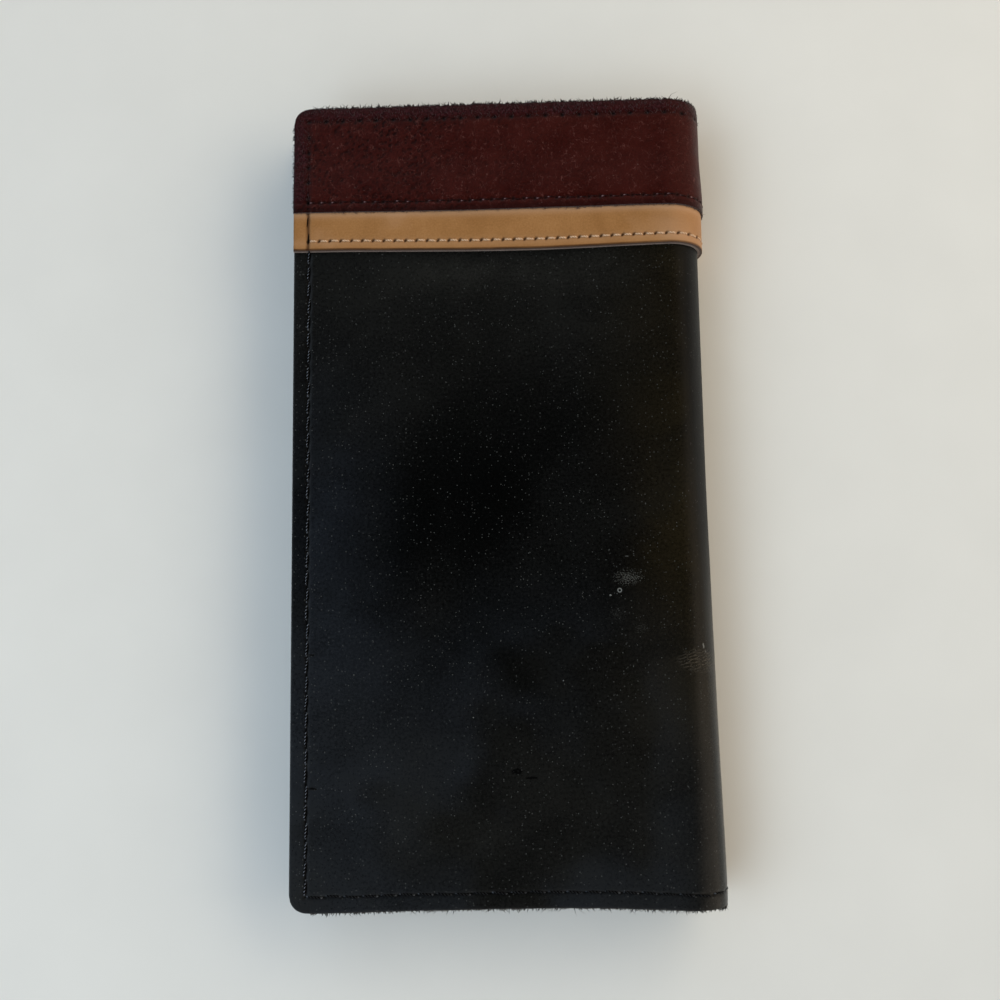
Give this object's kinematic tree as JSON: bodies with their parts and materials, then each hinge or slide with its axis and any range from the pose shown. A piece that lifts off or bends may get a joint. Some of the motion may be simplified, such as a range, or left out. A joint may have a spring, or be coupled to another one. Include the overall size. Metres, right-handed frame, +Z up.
{
  "type": "rodeo wallet",
  "caption": "Long bifold leather wallet with a lapped band and strip of trim, shingled card pockets, a window pocket and a bill compartment; it opens flat at its spine.",
  "frame": {"origin": "under the middle of the closed wallet, on the plane it lies on", "axes": "+X from the open edge to the spine, +Y towards the trimmed top end, +Z up through the closed wallet from its back to its front"},
  "size_m": [0.0972, 0.184, 0.0187],
  "materials": {
    "black_leather": "smooth waxed, satin",
    "burgundy_leather": "pebbled grain, satin",
    "tan_leather": "smooth, satin",
    "inner_leather": "fine grain, satin",
    "pocket_leather": "fine grain, satin",
    "lining_cloth": "plain weave",
    "clear_film": "clear",
    "black_thread": "twisted",
    "cream_thread": "twisted",
    "maroon_thread": "twisted"
  },
  "bodies": {
    "back_cover": {"back_cover_leather": "black_leather", "back_tan_strip": "tan_leather", "back_burgundy_band": "burgundy_leather", "back_lining": "lining_cloth", "back_inner_panel": "inner_leather", "back_card_pocket_1": "pocket_leather", "back_card_pocket_2": "pocket_leather", "back_card_pocket_3": "pocket_leather", "back_card_pocket_4": "pocket_leather", "back_card_pocket_5": "pocket_leather", "back_card_pocket_6": "pocket_leather", "back_edge_thread": "black_thread", "back_band_thread": "maroon_thread", "back_strip_thread": "cream_thread", "back_inner_thread": "black_thread", "back_pocket_thread": "black_thread"},
    "spine": {"spine_leather": "black_leather", "spine_tan_strip": "tan_leather", "spine_burgundy_band": "burgundy_leather", "spine_lining": "lining_cloth", "spine_bottom_thread": "black_thread", "spine_top_thread": "black_thread", "spine_band_thread": "maroon_thread", "spine_strip_thread": "cream_thread"},
    "front_cover": {"front_cover_leather": "black_leather", "front_tan_strip": "tan_leather", "front_burgundy_band": "burgundy_leather", "front_lining": "lining_cloth", "front_inner_panel": "inner_leather", "front_card_pocket_1": "pocket_leather", "front_card_pocket_2": "pocket_leather", "front_card_pocket_3": "pocket_leather", "front_card_pocket_4": "pocket_leather", "front_window_film": "clear_film", "front_window_frame": "inner_leather", "front_edge_thread": "black_thread", "front_band_thread": "maroon_thread", "front_strip_thread": "cream_thread", "front_inner_thread": "black_thread", "front_pocket_thread": "black_thread"}
  },
  "joints": [
    {"name": "spine_fold_back", "type": "hinge", "parent": "back_cover", "child": "spine", "pos_m": [0.04592, 0, 0.00285], "axis": [0, 1, 0], "range_deg": [0, 90.9]},
    {"name": "spine_fold_front", "type": "hinge", "parent": "spine", "child": "front_cover", "pos_m": [0.04571, 0, 0.0161], "axis": [0, 1, 0], "range_deg": [0, 90.9]}
  ],
  "couplings": [
    {"joint": "spine_fold_front", "follows": "spine_fold_back", "ratio": 1}
  ]
}
